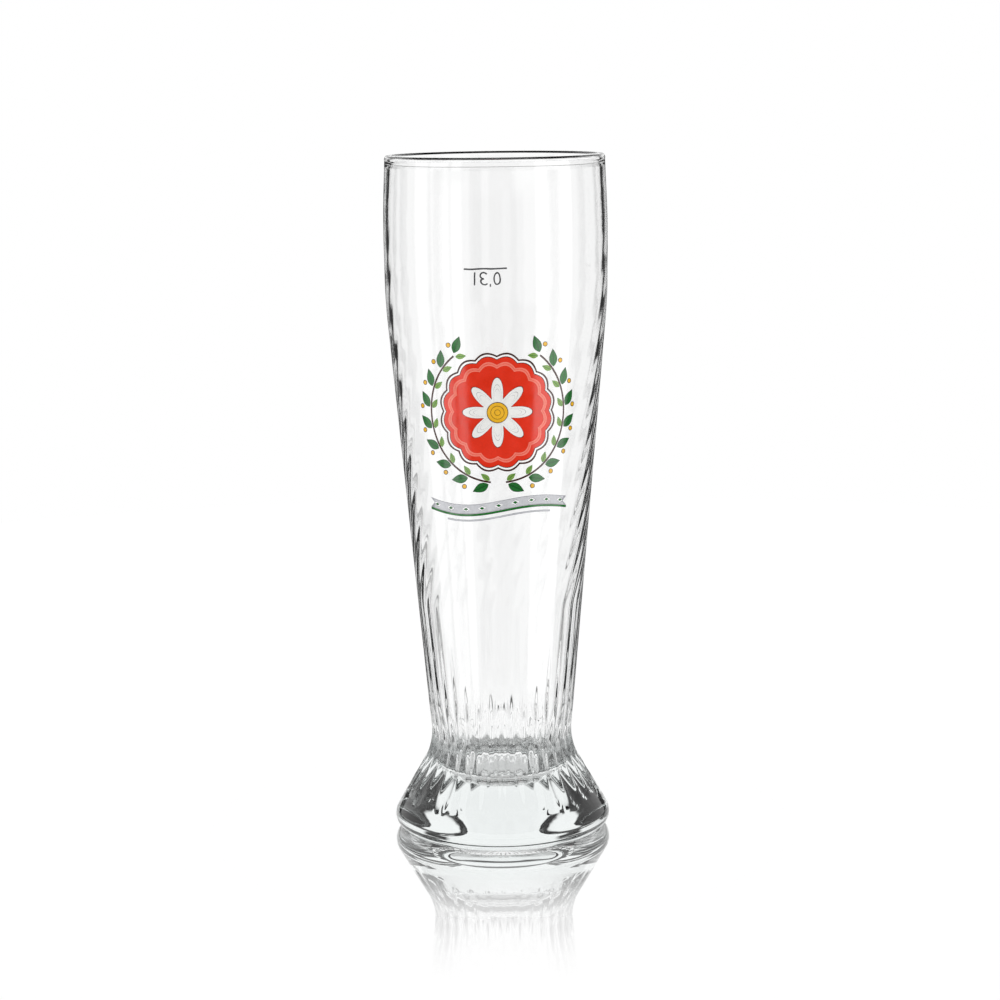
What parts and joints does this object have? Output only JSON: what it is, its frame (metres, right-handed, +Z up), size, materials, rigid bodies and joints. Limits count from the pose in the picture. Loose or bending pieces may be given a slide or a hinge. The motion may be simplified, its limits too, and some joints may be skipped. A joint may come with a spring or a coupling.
{
  "type": "weizen glass",
  "caption": "Tall wheat-beer glass: twisted optic bowl widening from a slim waist, solid fluted foot, fired enamel wreath decoration and a fill line.",
  "frame": {"origin": "on the glass's axis, in the plane that it stands on", "axes": "+Z up the axis from the foot to the rim; the decoration faces -Y and the fill mark is on the +Y wall"},
  "size_m": [0.0666, 0.0666, 0.205],
  "materials": {
    "glass": "clear soda-lime glass, fire-polished",
    "enamel_silver": "fired glass enamel, pale silver grey, gloss",
    "enamel_red": "fired glass enamel, vermilion, gloss",
    "enamel_dark_green": "fired glass enamel, dark green, gloss",
    "enamel_light_green": "fired glass enamel, light green, gloss",
    "enamel_brown": "fired glass enamel, dark brown, gloss",
    "enamel_coral": "fired glass enamel, coral, gloss",
    "enamel_white": "fired glass enamel, white, gloss",
    "enamel_gold": "fired glass enamel, golden yellow, gloss",
    "fill_mark": "fired glass enamel, grey, satin"
  },
  "bodies": {
    "root": {"glass": "glass", "enamel_silver": "enamel_silver", "enamel_red": "enamel_red", "enamel_dark_green": "enamel_dark_green", "enamel_light_green": "enamel_light_green", "enamel_brown": "enamel_brown", "enamel_coral": "enamel_coral", "enamel_white": "enamel_white", "enamel_gold": "enamel_gold", "fill_mark": "fill_mark"}
  },
  "joints": []
}
